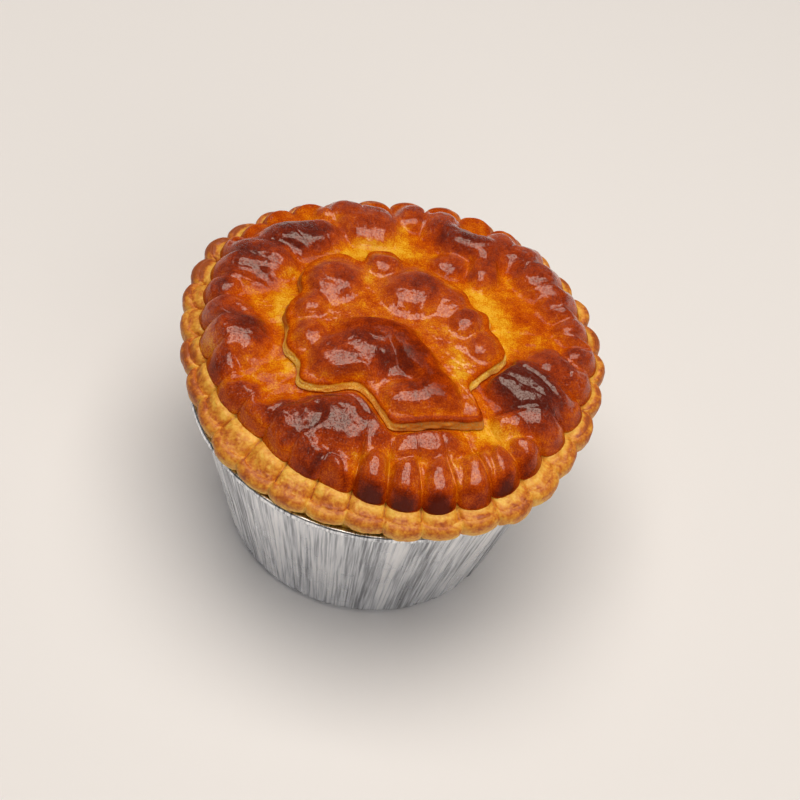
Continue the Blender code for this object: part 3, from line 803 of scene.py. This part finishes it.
BLISTER_FOOT = 0.8  # share of the blister over which its foot eases in


def oval_distance(x, y, cx, cy, length, width, turn):
    """Squared distance from the middle of a turned oval, 1 on its line. The oval is in mm."""
    dx, dy = x / MM - cx, y / MM - cy
    c, s = math.cos(math.radians(turn)), math.sin(math.radians(turn))
    return ((dx * c + dy * s) / length) ** 2 + ((dy * c - dx * s) / width) ** 2


def puffs(x, y, blisters):
    """Height of the blisters at a point: the highest leads, with soft joins."""
    total = np.zeros_like(x)
    for *oval, height in blisters:
        inside = np.maximum(0.0, 1.0 - oval_distance(x, y, *oval))
        total += (height * inside ** BLISTER_ROUND * blend(0.0, BLISTER_FOOT, inside)) ** 3
    return total ** (1.0 / 3.0) * MM


print(len(LID_BLISTERS), "blisters on the lid")

# %% Fingers and folds
FINGER_HEIGHT = 2.1 * MM
FINGER_GROOVE = 0.9 * MM
FINGER_START = 0.87  # part of the way out from the middle where a short finger begins
FINGER_REACH = 0.15  # how much further in the long front ones begin
LID_FOLDS = (  # creases in the puffed dough: points, half width and depth, all in mm
    (((-22, -26), (-18.5, -22.5), (-13, -20), (-7, -19), (-2, -21.5)), 1.1, 0.55),
    (((-12.5, -22.5), (-11.5, -25.5), (-13.5, -28.5), (-18, -31)), 0.9, 0.5),
    (((-12, -37.5), (-10.6, -34.5), (-7.6, -33), (-4.8, -34.5), (-4, -38)), 0.7, 0.8),
    (((25, 1.5), (29, -1.5), (34, -4), (38.5, -7.5)), 0.9, 0.5),
    (((25, -13), (30, -12), (36, -10), (39, -10)), 0.9, 0.5),
    (((-42, 13), (-36, 13.5), (-31, 12.5)), 0.8, 0.4),
    (((-41, 24), (-36, 23), (-31, 22.5), (-25, 22)), 0.8, 0.5),
)
FOLD_STEPS = 5  # stretches between two points of a fold


def finger_part(angle, part):
    """How much of a finger's height stands at this part of the way out."""
    front, low = arc(angle, *FINGER_FRONT), arc(angle, *FINGER_LOW)
    start = FINGER_START - FINGER_REACH * front
    return blend(start, start + 0.12, part) * (0.7 + 0.3 * front - 0.45 * low)


def puff_fade(angle, part):
    """How the blisters die away at the lid's edge: a long even slope along the front fingers."""
    front = arc(angle, *FINGER_FRONT)
    slope = 0.55 * np.clip((part - 0.76) / 0.21, 0.0, 1.0) + 0.45 * blend(0.93, 1.0, part)
    return 1.0 - (front * slope + (1.0 - front) * blend(0.89, 1.0, part))


def fold_depth(x, y, folds):
    """Depth of the creases at a point, deepest along their lines."""
    total = np.zeros_like(x)
    for points, half_width, depth in folds:
        nearest = path_distance(x, y, curve_through(points, FOLD_STEPS, closed=False))
        total = np.maximum(total, depth * MM * np.exp(-(nearest / (half_width * MM)) ** 2))
    return total


# %% Surface of the lid
LID_EDGE = 3.6 * MM
LID_RISE = 4.2 * MM
LID_RINGS = np.concatenate([[0.12, 0.22, 0.30], np.linspace(0.34, 0.965, 84), np.linspace(0.97, 1.0, 9)[:-1]])
BLISTER_DRIFT = 1.3 * MM  # bends the ovals, over stretches this wide:
DRIFT_WIDTH = 7.0 * MM
FINE_RIPPLES = ((2.1 * MM, 0.10 * MM), (0.8 * MM, 0.062 * MM))


def lid_surface(angle, part):
    """Points of the lid's top, and what its finish needs to know about each of them."""
    x, y = lid_point(angle, part * tip_radius(angle))
    flat = np.zeros_like(x)
    away = outline_distance(x, y, COARSE_OUTLINE)
    clear = blend(CUTOUT_MARGIN, CUTOUT_APPROACH, away)
    drift = BLISTER_DRIFT * (1.0 - blend(0.90, 1.0, part))
    bent = [v + drift * unevenness(x, y, flat, DRIFT_WIDTH, seed) for v, seed in ((x, 11), (y, 12))]
    puff = puffs(*bent, LID_BLISTERS) * puff_fade(angle, part)
    backs = crest(angle) * FINGER_HEIGHT + own_share(angle, HEIGHT_SHARE) - FINGER_GROOVE
    finger = backs * finger_part(angle, part)
    rounded = LID_SEAT + (LID_EDGE - LID_SEAT) * np.sqrt(1.0 - blend(0.945, 1.0, part) ** 2)
    relief = clear * (puff + finger * np.minimum(1.0, (1.0 - part) / 0.04))
    fold = fold_depth(*bent, LID_FOLDS)
    soft = ripples(x, y, flat, ((5.0 * MM, 0.25 * MM + 0.07 * puff), *FINE_RIPPLES), 1)
    soft = (soft - fold) * blend(0.0, 1.5 * MM, away) * (1.0 - blend(0.96, 1.0, part))
    z = edge_level(x, y) + rounded + LID_RISE * (1.0 - part * part) + relief + soft
    return SimpleNamespace(x=x, y=y, z=z, away=away, puff=puff * clear, finger=finger, fold=fold)


# %% [markdown]
# ### Where the lid is brown and where it shines
#
# Heat catches what stands up: the blister tops go red-brown, the ends of the
# front fingers nearly black, and the hollows stay yellow. Egg wash shines on
# the blisters, and hardly on the scorched ends. Both follow from the shape, and
# soft spots add what no rule gives: single scorches and pale hollows. A thin
# band on the lid beside the leaf is painted darker, as its shade.

# %% Pale hollows and scorches
SPOT_FALL = (2.0, 1.3)  # how fast a spot fades and how flat its middle is
# Middle x and y, half length and half width in mm, turn in degrees, strength
PALE_HOLLOWS = (
    (-13, 25.5, 8, 4, 30, 0.26), (-4, 29, 9, 3, 0, 0.26), (-3, 34, 2.5, 6, 0, 0.16),
    (-14, 36, 10, 4, 0, 0.14), (-25, 4, 3.5, 9, 8, 0.34), (-20, -11, 4, 3.5, -25, 0.28),
    (-23, 33, 4, 3, 0, 0.14), (20, 15.5, 9, 4.5, -50, 0.26), (23.5, 7, 3, 8, 8, 0.24),
    (24, -18, 7, 4, 5, 0.30), (16, 19, 5, 3, -30, 0.18), (-39, -6, 5, 6, 0, 0.14),
    (-6, -18, 6, 3, 0, 0.14), (-33, -10, 6, 2.5, 10, 0.16), (-37, -19, 5, 2, 20, 0.14),
    (-37, -6, 5, 5, 0, 0.14), (-27, 14.5, 3, 3, 0, 0.2),
)
SCORCHES = (
    (-25, 26, 11, 7, 15, 0.26), (-30, -4, 8, 5, -8, 0.26), (29, -7.5, 10, 7, -15, 0.36),
    (8, 35, 9, 5, -10, 0.18), (10, 25, 6, 4, 0, 0.16), (24, 32, 5, 4, 40, 0.14),
    (30, 17, 7, 5, 20, 0.12), (41, 10, 5, 4, 0, 0.14), (-30, 12, 5, 4, 0, 0.20),
    (-16, -26, 9, 5, -30, 0.10), (-36, -14, 4, 3, 0, 0.20), (-40, 8, 3, 3, 0, 0.20),
    (-36, 17, 5, 4, 0, 0.14), (-6, -27, 8, 5, 0, 0.12), (-38, -14.5, 5, 3, 10, 0.12),
    (34, -25, 3, 3, 0, 0.25), (-31.5, -21, 5, 3, 25, 0.12), (-16, -37, 4, 3, -25, 0.25),
    (-12, -35, 5, 4, -50, 0.25),
    (1.5, -40.3, 4.8, 2.8, 0, 0.70), (-1.5, -38, 1.6, 3.5, 0, 0.24), (9, -40.5, 4.6, 2.7, 4, 0.75),
    (16.5, -39.3, 5.2, 2.9, 10, 0.85), (24, -37, 4, 2.2, 28, 0.26), (30, -31.5, 4.5, 3.4, 42, 0.60),
)


def spots(x, y, places):
    """Sum of soft-edged patches, each as strong at its middle as its entry says."""
    rate, flatness = SPOT_FALL
    return sum(strength * np.exp(-rate * oval_distance(x, y, *oval) ** flatness)
               for *oval, strength in places)


def lid_browning_and_shade(angle, part, top):
    """How brown the lid is, with painted shade beside the leaf: 0 in a yellow hollow, 1 where it is nearly
    black.
    """
    long_fingers = arc(angle, *FINGER_FRONT) * blend(0.74, 0.84, part) * (1.0 - blend(0.93, 0.97, part))
    leaf_contact_shade = blend(0.0, 0.3 * MM, top.away) * (1.0 - blend(0.3 * MM, 1.6 * MM, top.away))
    brown = 0.29 + 0.38 * (top.puff / (4.0 * MM)) ** 1.3  # blister tops
    brown += (0.20 * crest(angle) - 0.05) * finger_part(angle, part)
    brown += 0.06 * blend(0.80, 0.95, part)  # all round the edge
    brown -= 0.16 * long_fingers  # but not at their ends
    # painted shade: a thin band beside the leaf is coloured darker, as the shade it casts on the lid
    brown += 0.06 * leaf_contact_shade
    brown += 0.16 * top.fold / (0.6 * MM)  # darker along the folds' lines
    return np.maximum(brown + spots(top.x, top.y, SCORCHES) - spots(top.x, top.y, PALE_HOLLOWS), 0.02)


def lid_gloss(angle, part, top):
    """How much egg wash shines: full on what stands up, little in hollows and on the front tips."""
    front = arc(angle, *FINGER_FRONT)
    standing = blend(0.3 * MM, 1.5 * MM, top.puff + top.finger)
    return (0.3 + 0.7 * standing) * (1.0 - 0.75 * front * blend(0.92, 0.96, part))


print(len(PALE_HOLLOWS), "pale hollows and", len(SCORCHES), "scorches")

# %% Lid skin
SEAT_RINGS = (0.30, 0.58, 0.82, 0.94, 1.0)
HIDDEN = 0.3  # browning and gloss of the underside, which nobody sees


def make_lid():
    """The lid as one skin: its seat on the case, and its top with browning and gloss."""
    angle, part = COLUMN_ANGLES[None, :], LID_RINGS[::-1][:, None]
    top = lid_surface(angle, part)
    seat = np.stack([lid_seat(COLUMN_ANGLES, p) for p in SEAT_RINGS])
    hidden = np.full(seat.shape[:2], HIDDEN)
    lid = skin("glazed_top", np.concatenate([seat, np.stack([top.x, top.y, top.z], axis=2)]),
               lid_seat(0.0, 0.0), (*LID_CENTRE, top.z[-1].mean()),
               attributes={"browning_and_shade": np.concatenate([hidden, lid_browning_and_shade(angle, part, top)]),
                           "gloss": np.concatenate([hidden, lid_gloss(angle, part, top)])})
    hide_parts("pastry_lid")
    return lid


lid = make_lid()

# %% [markdown]
# ### Egg-washed crust finish
#
# Egg wash dries to a clear hard film over browned crust. The film is a coat
# with its own sharp reflection, and tiny bubbles and grains in it break every
# highlight into specks. Most are finer than the render can show, so they are
# drawn 0.3 to 0.5 mm wide. The crust under the film is dull, and its colour
# runs with the browning: yellow dough, then orange, red-brown and nearly black,
# in clouds 2 to 3 mm wide. The browning also holds painted shade beside the leaf
# and under its front tip. Along the leaf's cut side it gives way to bare dough.

# %% Egg-washed crust
EGG_WASH_STOPS = ((0.0, "#e8b232"), (0.14, "#de9812"), (0.28, "#d07206"), (0.42, "#bc5004"),
                  (0.58, "#a33a05"), (0.76, "#812806"), (1.0, "#581a0c"))
CRUMB_STOPS = ((0.3, "#e4a42e"), (0.5, "#fccc52"), (0.72, "#fff098"))
EGG_WASH_NOISES = (  # width and detail of clouds, specks, bubbles and grains
    (2.381 * MM, 5.0), (0.3333 * MM, 2.0), (0.4545 * MM, 1.0), (0.2941 * MM, 1.0))
BROWNING_SHIFT = -0.64  # takes off most of what clouds and specks add on average


def egg_washed(name, bare=None):
    """Egg-washed crust that reads its browning, with painted shade, and gloss from the skin, and where it is
    bare if asked.
    """
    made = finish(name)
    place = add(made, "ShaderNodeTexCoord", out="Object")
    brown, gloss = (add(made, "ShaderNodeAttribute", out="Fac", attribute_name=label)
                    for label in ("browning_and_shade", "gloss"))
    clouds, specks, bubbles, grain = (
        add(made, "ShaderNodeTexNoise", {"Vector": place, "Scale": 1.0 / width, "Detail": detail})
        for width, detail in EGG_WASH_NOISES)
    cloudy = add(made, "ShaderNodeMath", {0: clouds, 1: 0.65, 2: brown}, operation="MULTIPLY_ADD")
    speckled = add(made, "ShaderNodeMath", {0: specks, 1: 0.75, 2: cloudy}, operation="MULTIPLY_ADD")
    level = add(made, "ShaderNodeMath", {0: speckled, 1: BROWNING_SHIFT}, operation="ADD")
    colour = add(made, "ShaderNodeValToRGB", {"Fac": level}, stops=EGG_WASH_STOPS)
    pits = add(made, "ShaderNodeMapRange", {"Value": bubbles, "From Min": 0.38, "From Max": 0.46})
    rough = add(made, "ShaderNodeBump", {"Height": grain, "Strength": 1.0, "Distance": 0.014 * MM})
    film = add(made, "ShaderNodeBump", {"Height": pits, "Strength": 1.0, "Normal": rough,
                                        "Distance": 0.075 * MM})
    surface = add(made, "ShaderNodeBsdfPrincipled", {
        "Base Color": colour, "Roughness": 0.7, "Specular IOR Level": 0.0,
        "Coat Weight": gloss, "Coat Roughness": 0.03, "Coat IOR": 1.6, "Coat Normal": film,
        "Subsurface Weight": 0.12, "Subsurface Radius": (1.0, 0.4, 0.12), "Subsurface Scale": 0.8 * MM})
    if bare:
        side = add(made, "ShaderNodeAttribute", out="Fac", attribute_name=bare)
        crumb = add(made, "ShaderNodeValToRGB", {"Fac": specks}, stops=CRUMB_STOPS)
        dough = add(made, "ShaderNodeBsdfPrincipled", {"Base Color": crumb, "Roughness": 0.7})
        surface = add(made, "ShaderNodeMixShader", {0: side, 1: surface, 2: dough})
    complete(made, surface)
    return made


lid.data.materials.append(egg_washed("egg-washed crust"))

# %% [markdown]
# ## Cut-out
#
# The leaf's cut side shows as a pale band, 2.4 mm high, of thin uneven layers
# that spread outward at the foot, under a browned top with blisters of its own.
# Behind and on the left the band is browner and less bare. Under the front tip
# the band and the edge above it are painted brown as shade. The skin is the
# outline drawn in to its middle, ring by ring.

# %% Sizes and blisters of the leaf
CUTOUT_MIDDLE = np.array((0.0, 1.0)) * MM
CUTOUT_EDGE = 2.4 * MM
CUTOUT_SHOULDER = 0.5 * MM
CUTOUT_BLISTERS = (
    (-16, 12.5, 8.5, 8, 30, 2.4), (-5.5, 21, 5.5, 5.5, 0, 2.0), (2.5, 13.5, 9.5, 8.5, 40, 2.6),
    (10, 13.5, 6, 6, 0, 1.4), (-9, -9.7, 10.5, 9.7, 0, 3.2), (-5, -6, 9, 5, -12, 2.9),
    (-3.5, -1.5, 12, 5.5, 3, 3.2), (5, -5.5, 10.5, 5, -42, 3.2), (11.5, -13, 9, 5, -52, 2.8),
    (7, -16.5, 9, 6, 12, 2.2), (15.3, 8, 6, 4.4, 63, 2.0), (20.5, 2, 5.5, 5.5, 0, 1.5),
    (-20, 4.5, 5.5, 5.5, 0, 1.8), (-18.5, -4.5, 5.5, 5.5, 20, 1.8),
)
LEAF_RIPPLES = ((5.0 * MM, 0.20 * MM), (2.1 * MM, 0.08 * MM), (0.8 * MM, 0.062 * MM))


def lid_level(x, y):
    """Height of the plain lid under the cut-out."""
    dx, dy = x - LID_CENTRE[0], y - LID_CENTRE[1]
    part = np.hypot(dx, dy) / tip_radius(np.arctan2(dy, dx))
    return edge_level(x, y) + LID_EDGE + LID_RISE * (1.0 - part * part)


def leaf_ring(part, height, blister):
    """A ring at a part of the way out and a height above the lid, and how far it is puffed up."""
    plan = CUTOUT_MIDDLE + np.reshape(part, (-1, 1)) * (OUTLINE - CUTOUT_MIDDLE)
    x, y = plan.T
    puff = blister * (1.0 - blend(0.82, 1.0, part)) * puffs(x, y, CUTOUT_BLISTERS)
    z = lid_level(x, y) + GAP + height + puff
    return np.stack([x, y, z + blister * ripples(x, y, z, LEAF_RIPPLES, 6)], axis=1), puff


# %% Underside and cut side of the leaf
SIDE_SPREAD = 0.030  # share of the way out by which the foot spreads
LAYER_SPREAD = 0.011  # and by which single layers stand out
LAYER_WIDTH = 1.6 * MM  # along the edge; a third of that in height
# painted shade: 1 under the leaf's front tip, where the cut side and its top edge are coloured browner, and
# less bare, as the shade there
FRONT_TIP_SHADE = blend(1.0 * MM, 6.0 * MM, OUTLINE[:, 0]) * blend(10.0 * MM, 14.0 * MM, -OUTLINE[:, 1])
# 1 on the left and behind, where the cut side is coloured browner and less bare
LEFT_AND_BACK = blend(-6.0 * MM, 0.0, OUTLINE[:, 1]) * (1.0 - blend(10.0 * MM, 16.0 * MM, OUTLINE[:, 0]))


def leaf_side():
    """Rings of the hidden underside and up the cut side, with browning and painted shade, bareness and gloss.
    """
    for part in (0.3, 0.6, 0.9, 0.97):
        yield leaf_ring(part, 0.0, 0.0)[0], 0.2, 1.0, 0.0
    for share in np.linspace(0.04, 1.0, 16):
        height = share * (CUTOUT_EDGE - CUTOUT_SHOULDER)
        layer = unevenness(*OUTLINE.T, np.full(len(OUTLINE), 3.0 * height), LAYER_WIDTH, 14)
        spread = SIDE_SPREAD * (1.0 - share) + LAYER_SPREAD * layer
        brown = 0.12 + 0.35 * FRONT_TIP_SHADE + 0.28 * LEFT_AND_BACK - 0.25 * np.minimum(layer, 0.0)
        bare = (1.0 - blend(0.75, 1.0, share)) * (1.0 - 0.7 * FRONT_TIP_SHADE) * (1.0 - 0.85 * LEFT_AND_BACK)
        yield leaf_ring(1.0 + spread, height, 0.0)[0], brown, bare, 0.3


def leaf_shoulder():
    """Rings round the top edge, which dried matte and is painted darker at the front tip, as shade."""
    for turn_up in np.radians(np.linspace(15, 90, 6)):
        part = 1.0 - 0.035 * (1.0 - math.cos(turn_up))
        height = CUTOUT_EDGE - CUTOUT_SHOULDER * (1.0 - math.sin(turn_up))
        yield leaf_ring(part, height, 0.5 * math.sin(turn_up))[0], 0.40 + 0.15 * FRONT_TIP_SHADE, 0.0, 0.08


# %% Top of the leaf
LEAF_PALE = ((15, -5, 3, 7, 15, 0.26), (-8, 15, 2, 4, 0, 0.14), (9, 4, 6, 3, -20, 0.08))
LEAF_DULL = ((-7, 8, 4, 6, 0, 0.6), (6, -5, 10, 6, -42, 0.95), (12, -12, 8, 5, -50, 0.9),
             (-2, -1, 10, 4, 3, 0.8), (-12, -2, 6, 4, 10, 0.6))
LEAF_SCORCHES = ((1, -9.5, 5, 4, 0, 0.34), (7, -14, 4, 4, -30, 0.20), (5, 15, 4, 4, 60, 0.16),
                 (14, 9, 3, 4, -20, 0.16), (-12, 12, 4, 4, 0, 0.12), (0, -6, 12, 6, -20, 0.12))


def leaf_top():
    """Rings over the top: brown on the blisters, scorched over the middle, dull where the wash soaked in."""
    for part in np.concatenate([np.linspace(0.955, 0.12, 78), [0.06]]):
        points, puff = leaf_ring(part, CUTOUT_EDGE, 1.0)
        x, y = points[:, 0], points[:, 1]
        brown = 0.34 + 0.28 * (puff / (3.0 * MM)) ** 1.2 + spots(x, y, LEAF_SCORCHES) - spots(x, y, LEAF_PALE)
        gloss = 1.0 - spots(x, y, LEAF_DULL) - 0.9 * blend(0.90, 0.96, part)
        yield points, brown, 0.0, np.clip(gloss, 0.08, 1.0)


def make_cutout():
    """The leaf as one skin, with browning and painted shade, bareness and gloss."""
    rows, *finishes = zip(*leaf_side(), *leaf_shoulder(), *leaf_top())
    values = [np.stack([np.broadcast_to(ring, len(OUTLINE)) for ring in rings]) for rings in finishes]
    leaf = skin("dough_leaf", rows, (*CUTOUT_MIDDLE, lid_level(*CUTOUT_MIDDLE) + GAP), rows[-1].mean(axis=0),
                attributes=dict(zip(("browning_and_shade", "bare", "gloss"), values)))
    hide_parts("pastry_cutout")
    return leaf


leaf = make_cutout()
leaf.data.materials.append(egg_washed("egg-washed leaf", "bare"))

# %% [markdown]
# ## Size
#
# The skins have to fill the same box as the CAD solids, so both are measured.

# %% Measure the size
dressed_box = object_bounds()
for label, box in (("CAD", cad_box), ("dressed", dressed_box)):
    print(label, [round((high - low) / MM, 1) for low, high in zip(*box)], "mm")
